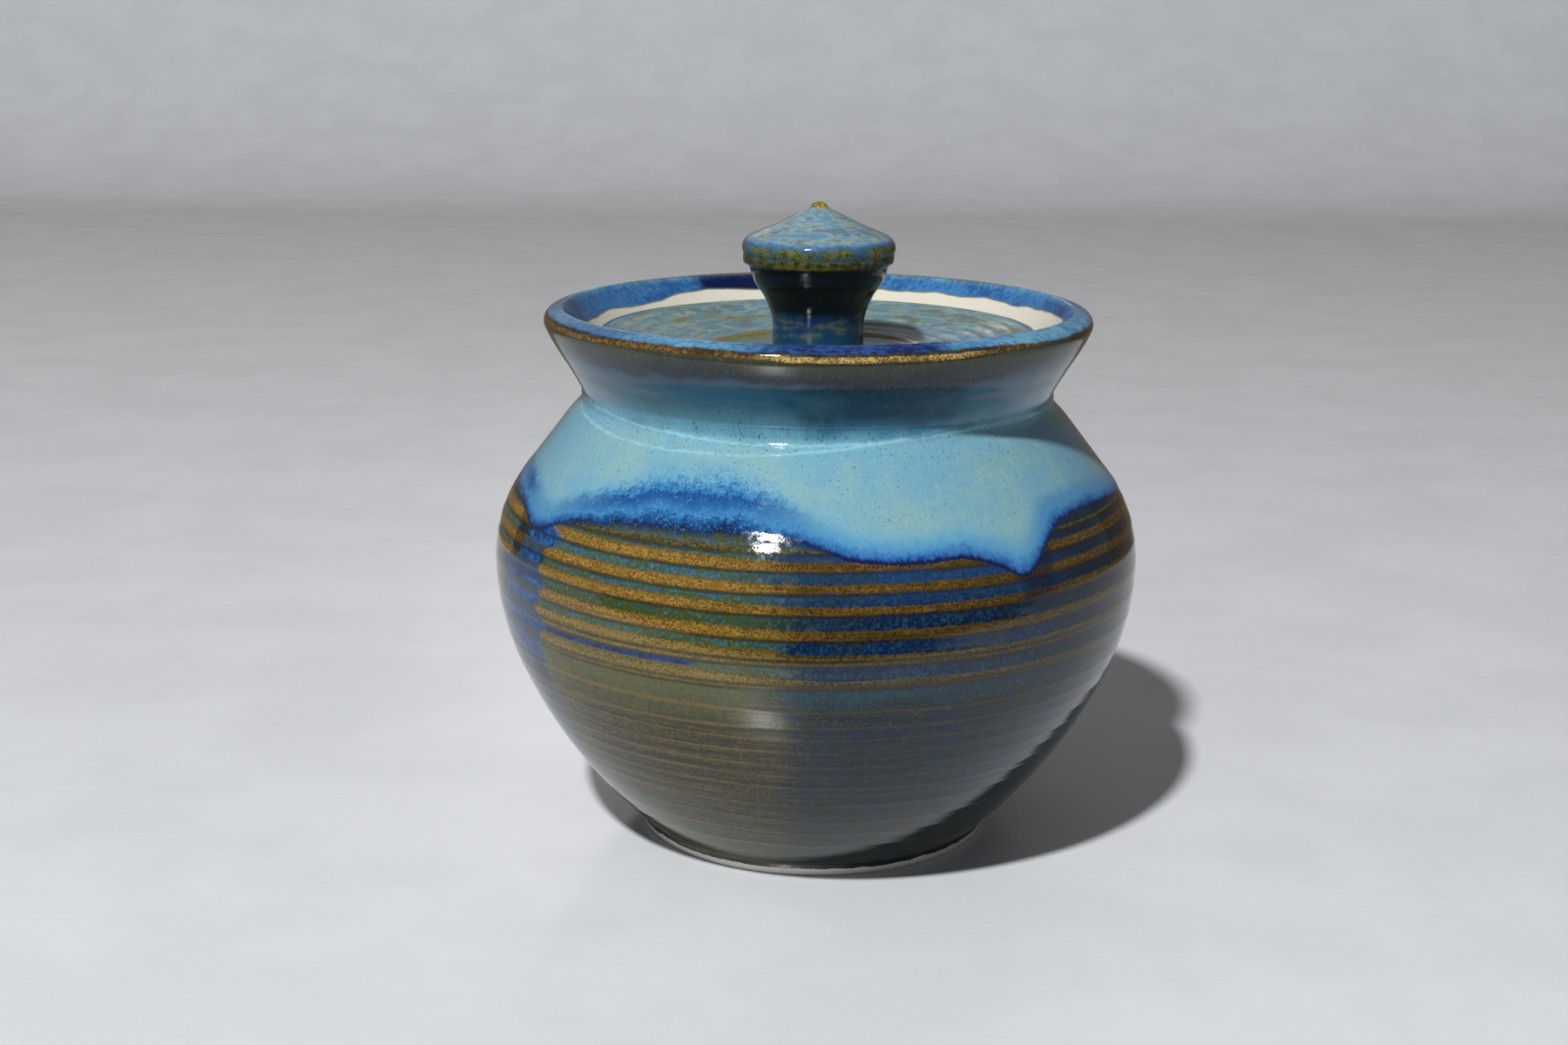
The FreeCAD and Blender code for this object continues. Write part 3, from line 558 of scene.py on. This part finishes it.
dip = glaze.tint(tide, pale, spread, 0.7, 1.25)
ragged = glaze.calc("MULTIPLY_ADD", smoke, glaze.times(bleed, 1.6),
                    glaze.total(over, (running, 0.5), (grain, 0.3)))
line_there = glaze.calc("MULTIPLY_ADD", bleed, -0.5, 0.9)
dip = glaze.lay(glaze.times(glaze.rise(ragged, 1.3, 0.5), line_there), dip, shade(10, 20, 60))

# The collar, where the coats run thin under the lip and break olive at the top. Up the flare, which faces
# down, the blues are painted darker as painted shade, and darker still at the front as painted shadow and
# reflection.
lifted = glaze.total(climb, (cloud, 1.6), (drift, 3.4))
collar = glaze.heights(lifted, [
    (117, (104, 152, 168)), (120, (82, 136, 156)), (122.5, (74, 122, 141)), (126, (54, 94, 110)),
    (130, (48, 88, 106)), (132.4, (36, 68, 92)), (133.6, (14, 24, 46)), (135.2, (30, 38, 38)),
    (138, (54, 56, 40)), (141, (64, 56, 32))])
# Painted shade and painted reflection for the front of the collar, near black under the lip
painted_collar_shade = glaze.heights(lifted, [
    (117, (84, 138, 160)), (119, (56, 112, 140)), (121.5, (36, 86, 114)), (124, (8, 44, 72)),
    (129, (0, 28, 58)), (133, (0, 6, 26)), (134.4, (14, 22, 26)), (138, (50, 50, 36))])
collar = glaze.tint(collar, painted_collar_shade, glaze.total(front, (cloud, 0.25)), 0.5, 0.95, most=0.9)
collar = glaze.tint(collar, shade(58, 92, 96), running, 0.46, 0.7, most=0.3)
collar = glaze.lay(glaze.times(glaze.rise(fleck, 0.66, 0.74, most=0.8), glaze.rise(climb, 136, 128)),
                   collar, shade(20, 48, 84))
dip = glaze.tint(dip, collar, lifted, 115.5, 121)
# Two fine pale lines that the finger left where the collar meets the shoulder, each low at its own bearing
neck_radius = 0.0635
for low_at, lowest, lean in ((-100, 117.2, 5.4), (-122, 114.6, 9.7)):
    towards = [lean / neck_radius * turn(math.radians(low_at)) for turn in (math.cos, math.sin)]
    near = glaze.add("ShaderNodeVectorMath", glaze.place, (*towards, 0), operation="DOT_PRODUCT", out=1)
    gap = glaze.calc("SUBTRACT", glaze.calc("ADD", glaze.total(climb, (cloud, 0.5)), near), lowest + lean)
    thread = glaze.rise(glaze.total(glaze.calc("ABSOLUTE", gap), (grain, 0.5), (cloud, 0.4)),
                        0.45, 0.0, most=0.45)
    thread = glaze.times(thread, glaze.rise(near, 0.3 * lean, 0.8 * lean))
    dip = glaze.lay(thread, dip, shade(142, 196, 212))
# The dip lies over the iron, with a firm edge or, where the iron bled into it, a smoky one
soft_from = glaze.calc("MULTIPLY_ADD", bleed, -0.9, -0.1)
soft_to = glaze.calc("MULTIPLY_ADD", bleed, 0.8, 0.25)
outer = glaze.tint(iron, dip, ragged, soft_from, soft_to)

# The lip: a gold edge with burnt spots, a blue top and a blue band over the cream liner
wander = glaze.total(climb, (cloud, 0.5), (grain, 0.14))
below_lip = glaze.calc("SUBTRACT", wander, glaze.calc("MULTIPLY_ADD", gilt, -1.45, 140.05))
fringe_gold = glaze.speckle(coarse, (56, 38, 16), (112, 90, 46), *SOFT)
fringe_gold = glaze.tint(fringe_gold, glaze.speckle(streaked, (82, 56, 20), (196, 170, 104), 0.3, 0.72),
                         gilt, 0.5, 0.95)
burnt = glaze.total(glaze.mottle(4, seed=9.2, stretch=(2, 2, 1)), (grain, 0.2), (dust, 0.1))
fringe_gold = glaze.tint(fringe_gold, shade(60, 40, 14), burnt, 0.53, 0.64, most=0.75)
outer = glaze.tint(outer, fringe_gold, below_lip, -0.12, 0.12)
gold_top = glaze.calc("MULTIPLY_ADD", front, -0.25,
                      glaze.calc("ADD", glaze.rise(gilt, 0.1, 0.5, most=0.95), 139.75))
over_gold = glaze.calc("SUBTRACT", wander, gold_top)
outer = glaze.lay(glaze.times(glaze.rise(over_gold, -0.65, -0.3), glaze.rise(gilt, 0.3, 0.7, most=0.9)),
                  outer, shade(20, 28, 40))
slanted = glaze.mottle(0.8, seed=9.5, stretch=(2.5, 1, 2))
lip_blue = glaze.speckle(glaze.total(slanted, (cloud, 0.4)), (60, 114, 154), (100, 150, 176))
lip_navy = glaze.speckle(glaze.total(slanted, (cloud, 0.3)), (10, 28, 80), (30, 72, 128))
lip_blue = glaze.tint(lip_blue, lip_navy, glaze.total(deep, (cloud, 0.25), (grain, 0.1)), 0.25, 0.75)
outer = glaze.tint(outer, lip_blue, over_gold, 0.0, 0.65)
band = glaze.speckle(glaze.total(drift, (slanted, 0.5)), (36, 82, 138), (60, 112, 162))
band = glaze.tint(band, shade(8, 18, 60), glaze.total(deep, (cloud, 0.25)), 0.3, 0.75)
outer = glaze.tint(outer, band, climb, 142.4, 145.0)
crest = glaze.away(wander, 142.9)
rightward, backward, _ = glaze.split(glaze.place)
behind = glaze.rise(backward, 0.03, 0.05, most=0.6)
crest_bare = glaze.calc("MAXIMUM", behind, glaze.rise(deep, 0.4, 0.8, most=0.8))
outer = glaze.lay(glaze.times(glaze.rise(crest, 0.7, 0.2), crest_bare), outer, shade(96, 86, 44))
lower_left = glaze.rise(rightward, -0.03, -0.06, most=2.6)
uneven = glaze.mottle(14, seed=9.8, detail=1.0)
liner_edge = glaze.calc("SUBTRACT", glaze.total(climb, (cloud, 0.45), (uneven, 1.5)), lower_left)
outer = glaze.tint(outer, shade(96, 104, 84), liner_edge, 147.2, 147.6, most=0.7)
outer = glaze.tint(outer, shade(206, 201, 186), liner_edge, 147.6, 148.3)

# The bare foot
clay = glaze.speckle(glaze.mottle(0.8, seed=9.0), (238, 234, 224), (220, 214, 202), 0.45, 0.7)
foot_edge = glaze.total(climb, (cloud, 0.9), (grain, 0.3))
bare = glaze.rise(foot_edge, 2.1, 1.8)
outer = glaze.lay(bare, outer, clay)
glaze.surface(outer, glaze.calc("ADD", glaze.times(dust, 0.3), glaze.mottle(5, seed=10.0)), distance=0.04)
gloss = glaze.rise(grain, 0.2, 0.8, most=0.12)
glaze.feed(glaze.shader.inputs["Roughness"], glaze.calc("MAXIMUM", gloss, glaze.times(bare, 0.85)))

make_piece("pot", pot_form, "pot", "pot_body", glaze.material)

# ---------------------------------------------------------------- the lid
# A shallow saucer of the same clay that drops into the collar and rests on the gallery. It is glazed on top
# in the pale dip over iron, with a low ridge round the knob, and its seat is left bare.

plate = Profile(0, 124.4)
plate.line(17, 124.4, 4)
plate.line(51.7, 128.8, 8)
plate.arc(51.5, 130.0, 80, 4)
plate.line(52.7, LEDGE, 2)
plate.line(58.1, LEDGE, 4)
plate.line(58.1, 134.6, 4)
plate.arc(56.9, 134.6, 90, 5)
plate.line(55.6, 135.8, 2)
plate.arc(17, 252.85, -18.25, 80)
plate.line(0, 129.6, 12)
lid_form = plate.turn(steps=200)

# The low ridges that the fingers left on top: radius, half width and height. They lie between the knob and
# the rolled edge.
GLAZED_FROM, GLAZED_TO = 18, 55.5
LID_RIDGES = [(29, 2.3, 0.75), (35.5, 0.9, 0.12), (39.8, 1.1, 0.18), (44.2, 0.9, 0.14), (48.4, 1.0, 0.2),
              (52.3, 0.8, 0.12), (23.0, 0.9, 0.15)]
for point in lid_form.verts:
    radius = math.hypot(point.co.x, point.co.y) / MM
    if point.normal.z > 0.5 and GLAZED_FROM < radius < GLAZED_TO:
        point.co.z += MM * sum(rise * bump_at(radius, at, half) for at, half, rise in LID_RIDGES)


def seen_from_above(finish):
    """Each point's place with its height left out."""
    rightward, backward, _ = finish.split(finish.place)
    return finish.add("ShaderNodeCombineXYZ", rightward, backward, 0.0)


def wound(finish, reach, third):
    """A place for patterns that run round the wheel's axis.

    It is the bearing, as a place on a small circle of radius reach, and a third part across its run.
    """
    heading = finish.add("ShaderNodeVectorMath", seen_from_above(finish), operation="NORMALIZE")
    rightward, backward, _ = finish.split(finish.add("ShaderNodeVectorMath", heading, (reach, reach, reach),
                                                     operation="MULTIPLY"))
    return finish.add("ShaderNodeCombineXYZ", rightward, backward, third)


cover = Finish("pale_lid_glaze", roughness=0.14)
level = cover.calc("DIVIDE", cover.split(cover.place)[2], MM)
from_middle = cover.add("ShaderNodeVectorMath", seen_from_above(cover), operation="LENGTH", out=1)
radius = cover.calc("DIVIDE", from_middle, MM)
ringwise = wound(cover, 0.012, from_middle)
fleck = cover.mottle(0.6, seed=13.0, detail=2.0)
puddle = cover.mottle(8, seed=14.0)
smear = cover.mottle(3.2, seed=12.0, stretch=(1.4, 1.4, 0.8), place=ringwise)
lines = cover.mottle(1.3, seed=11.0, stretch=(3, 3, 1), place=ringwise)
patch = cover.mottle(11, seed=15.0, stretch=(1.2, 1.2, 0.6), place=ringwise)
top = cover.speckle(cover.total(smear, (puddle, 0.4)), (88, 122, 134), (146, 160, 138), 0.38, 0.62)
top = cover.tint(top, shade(54, 104, 152), cover.total(puddle, (smear, 0.4)), 0.48, 0.64, most=0.8)
top = cover.tint(top, shade(96, 102, 64),
                 cover.total(patch, (smear, 0.35), (puddle, 0.3)), 0.5, 0.68, most=0.75)
top = cover.tint(top, shade(84, 96, 76), cover.total(lines, (puddle, 0.3)), 0.56, 0.72, most=0.3)
top = cover.tint(top, shade(58, 84, 84), fleck, 0.54, 0.66, most=0.45)
# Darker and more olive towards the knob
top = cover.tint(top, shade(80, 98, 84), cover.total(radius, (smear, 8)), 38, 22, most=0.55)
on_ridge = cover.times(cover.rise(radius, 25.6, 28.2), cover.rise(radius, 32.2, 30.0))
top = cover.lay(cover.times(on_ridge, cover.rise(smear, 0.3, 0.46, most=0.95)),
                top, cover.speckle(fleck, (74, 68, 24), (128, 116, 54)))
top = cover.tint(top, shade(54, 84, 108), cover.total(radius, (puddle, 0.6)), 55.4, 56.6, most=0.8)
liner = cover.tint(shade(208, 203, 188), cover.speckle(fleck, (188, 180, 164), (204, 197, 182)),
                   radius, 52.0, 52.6)
below = cover.calc("MAXIMUM", cover.rise(level, 129.5, 129.3),
                   cover.times(cover.rise(level, 132.3, 131.8), cover.rise(radius, 51.0, 51.4)))
top = cover.lay(below, top, liner)
cover.surface(top, cover.calc("ADD", cover.times(fleck, 0.15), lines), distance=0.12)
seat_bare = cover.times(below, cover.rise(radius, 52.0, 52.6, most=0.8))
cover.feed(cover.shader.inputs["Roughness"],
           cover.calc("MAXIMUM", cover.rise(puddle, 0.2, 0.8, most=0.22), seat_bare))
make_piece("lid", lid_form, "lid", "lid_plate", cover.material)

# ---------------------------------------------------------------- the knob
# Thrown by itself: a waisted stem under a capped head that comes to a small nub. It is stuck to the lid with
# slip, and the glaze breaks olive gold on its edges and runs dark blue down the stem. The flare under the cap
# is painted near black, as painted shadow of the cap.

grip = Profile(0, 129.6)
grip.line(13.4, 129.6, 5)
grip.line(12.8, 130.3, 2)
grip.line(12.2, 131.4, 3)
grip.line(12.1, 135.6, 10)
grip.arc(29.9, 135.6, -36.55, 26)
grip.arc(4.525, 154.763, 30.06, 20)
grip.line(18.75, 153.0, 1)
grip.line(19.6, 153.2, 3)
grip.line(19.9, 153.7, 2)
grip.line(20.2, 156.8, 12)
grip.arc(16.74, 157.324, 74.1, 14)
grip.line(2.4, 167.7, 34)
grip.arc(0, 166.7, 67.38, 8)
knob_form = grip.turn(steps=160)

# The hollow on the cap, the groove in its edge and the hand's waver, in millimetres
CAP_HOLLOW = 0.3
EDGE_GROOVE = 0.16
KNOB_WAVER = 0.16
KNOB_INSET = 0.08
for point in knob_form.verts:
    height = point.co.z / MM
    radius = math.hypot(point.co.x, point.co.y) / MM
    if height > 160:
        point.co.z -= CAP_HOLLOW * MM * bump_at(radius, 11.5, 4.5)
    relief = -EDGE_GROOVE * bump_at(height, 155.9, 0.7) * between(18, 19, radius)
    relief += KNOB_WAVER * noise.noise(Vector((point.co.x * 60, point.co.y * 60, height * 0.25))) - KNOB_INSET
    if 130.5 < height < 160 and radius > 1:
        point.co += point.normal * relief * MM

head = Finish("blue_knob_glaze", roughness=0.12)
head.shader.inputs["IOR"].default_value = 1.4
dust = head.mottle(0.6, seed=21.0, detail=2.0)
grain = head.mottle(1.7, seed=22.0)
cloud = head.mottle(5, seed=23.0)
upward = head.split(head.place)[2]
level = head.calc("DIVIDE", upward, MM)
swipe = head.mottle(1.2, seed=24.0, stretch=(2.4, 2.4, 0.6), place=wound(head, 0.006, upward))
waved = head.total(level, (grain, 0.9), (cloud, 0.8))
# The stem: blue teal low down, and from the top of the flare up to the cap painted near black as the cap's
# shadow
stem = head.heights(waved, [
    (130, (30, 66, 84)), (134, (16, 54, 88)), (139.5, (12, 42, 86)), (141.5, (2, 10, 20)),
    (147, (1, 5, 10)), (151, (2, 12, 24)), (153, (1, 6, 12))])
stem = head.lay(head.times(head.rise(cloud, 0.45, 0.62, most=0.5), head.rise(level, 142, 140)),
                stem, shade(32, 76, 82))
# Thin olive lines that cross where the slip was smoothed
for height, lean in ((137.4, (110, 60, 0)), (134.2, (-70, 150, 0)), (139.0, (-150, -60, 0))):
    tilt = head.add("ShaderNodeVectorMath", head.place, lean, operation="DOT_PRODUCT", out=1)
    tilted = head.calc("ADD", head.total(level, (cloud, 0.8)), tilt)
    gap = head.away(tilted, height)
    thread = head.times(head.rise(head.total(gap, (grain, 0.5)), 1.0, 0.0),
                        head.rise(cloud, 0.35, 0.65, most=0.5))
    stem = head.lay(head.times(thread, head.rise(level, 142, 140)), stem, shade(104, 104, 50))
# Olive gold on the cap's edge, pale swipes over the cap and gold again on the nub
olive = head.speckle(head.total(grain, (dust, 0.3)), (54, 60, 32), (112, 112, 60), 0.3, 0.7)
olive = head.tint(olive, shade(46, 86, 112), head.total(cloud, (grain, 0.4)), 0.48, 0.62, most=0.8)
olive = head.tint(olive, head.speckle(grain, (42, 42, 18), (76, 74, 32)), waved, 155.6, 155.0)
olive = head.tint(olive, shade(34, 48, 36), head.away(level, 155.8), 0.7, 0.2, most=0.45)
cap = head.speckle(head.total(swipe, (cloud, 0.2)), (86, 124, 144), (142, 160, 164), 0.34, 0.66)
cap = head.tint(cap, shade(48, 92, 136), head.total(cloud, (swipe, 0.25)), 0.52, 0.66, most=0.7)
cap = head.tint(cap, shade(100, 104, 56),
                head.total(swipe, (grain, 0.25), (dust, 0.15)), 0.5, 0.66, most=0.65)
cap = head.tint(cap, shade(36, 82, 130), waved, 160.4, 159.0, most=0.85)
skin = head.tint(stem, olive, waved, 153.0, 153.4)
skin = head.tint(skin, cap, waved, 158.4, 158.9)
nub = head.speckle(grain, (78, 74, 26), (146, 130, 62))
skin = head.tint(skin, nub, head.total(level, (grain, 0.6)), 167.6, 168.0)
head.surface(skin, head.calc("ADD", head.times(dust, 0.15), cloud), distance=0.12)
head.feed(head.shader.inputs["Roughness"], head.rise(grain, 0.1, 0.9, most=0.22))
make_piece("knob", knob_form, "lid", "lid_knob", head.material)

# ---------------------------------------------------------------- the table and the light
# A pale painted board that sweeps up behind the pot, and one soft lamp high in front on the left. The room
# adds a weak even light.

FRONT_LEFT = (-3, -3, 0)
TABLE_WIDTH = 6
TABLE_DEPTH = 4.6
BEND_CENTRE = (0, 1.6, 0.8)
BEND_STEPS = 16
BACK_HEIGHT = 2.2

sweep = bmesh.new()
corner = sweep.verts.new(FRONT_LEFT)
corner = bmesh.ops.extrude_vert_indiv(sweep, verts=[corner])["verts"][0]
bmesh.ops.translate(sweep, verts=[corner], vec=(0, TABLE_DEPTH, 0))
bend = Matrix.Rotation(math.radians(90 / BEND_STEPS), 3, "X")
for _ in range(BEND_STEPS):
    corner = bmesh.ops.extrude_vert_indiv(sweep, verts=[corner])["verts"][0]
    bmesh.ops.rotate(sweep, verts=[corner], cent=BEND_CENTRE, matrix=bend)
corner = bmesh.ops.extrude_vert_indiv(sweep, verts=[corner])["verts"][0]
bmesh.ops.translate(sweep, verts=[corner], vec=(0, 0, BACK_HEIGHT))
drawn = bmesh.ops.extrude_edge_only(sweep, edges=sweep.edges)["geom"]
right_side = [part for part in drawn if isinstance(part, bmesh.types.BMVert)]
bmesh.ops.translate(sweep, verts=right_side, vec=(TABLE_WIDTH, 0, 0))
bmesh.ops.recalc_face_normals(sweep, faces=sweep.faces)
for face in sweep.faces:
    face.smooth = True
table_mesh = bpy.data.meshes.new("table")
sweep.to_mesh(table_mesh)
sweep.free()
table = bpy.data.objects.new("table", table_mesh)
bpy.context.scene.collection.objects.link(table)

board = Finish("pale_painted_board", roughness=0.24)
paint = board.speckle(board.mottle(60, seed=31.0), (204, 207, 211), (209, 212, 216))
# Past the table's front edge the room is dark, and behind it stands a brown wall: only the glaze mirrors them
forth = board.split(board.place)[1]
room = board.tint(shade(24, 24, 28), shade(122, 106, 92), forth, 0, 0.1)
past_edge = board.calc("ADD", board.rise(forth, -0.18, -0.24), board.rise(forth, 0.36, 0.42))
mirrored = board.times(past_edge, board.add("ShaderNodeLightPath", out="Is Glossy Ray"))
board.surface(board.lay(mirrored, paint, room), board.mottle(2, seed=32.0), distance=0.05)
table_mesh.materials.append(board.material)

LAMP_PLACE = (-0.875, -2.03, 2.79)
LAMP_AIM = (0, 0, 0.08)
LAMP_WIDTH = 0.2
LAMP_POWER = 153
ROOM_COLOUR = (0.93, 0.96, 1, 1)
ROOM_LIGHT = 0.15
ROOM_AS_SEEN = 0.6

lamp_data = bpy.data.lights.new("soft_lamp", "AREA")
lamp_data.shape = "DISK"
lamp_data.size = LAMP_WIDTH
lamp_data.energy = LAMP_POWER
lamp = bpy.data.objects.new("soft_lamp", lamp_data)
lamp.location = LAMP_PLACE
lamp.rotation_euler = (Vector(LAMP_AIM) - lamp.location).to_track_quat("-Z", "Y").to_euler()
bpy.context.scene.collection.objects.link(lamp)

# The room looks paler than it lights where nothing stands in front of it
world = bpy.data.worlds.new("studio")
world.use_nodes = True
background = world.node_tree.nodes["Background"]
background.inputs["Color"].default_value = ROOM_COLOUR
looked_at = world.node_tree.nodes.new("ShaderNodeMapRange")
looked_at.inputs["To Min"].default_value = ROOM_LIGHT
looked_at.inputs["To Max"].default_value = ROOM_AS_SEEN
seen = world.node_tree.nodes.new("ShaderNodeLightPath").outputs["Is Camera Ray"]
world.node_tree.links.new(seen, looked_at.inputs["Value"])
world.node_tree.links.new(looked_at.outputs["Result"], background.inputs["Strength"])
bpy.context.scene.world = world
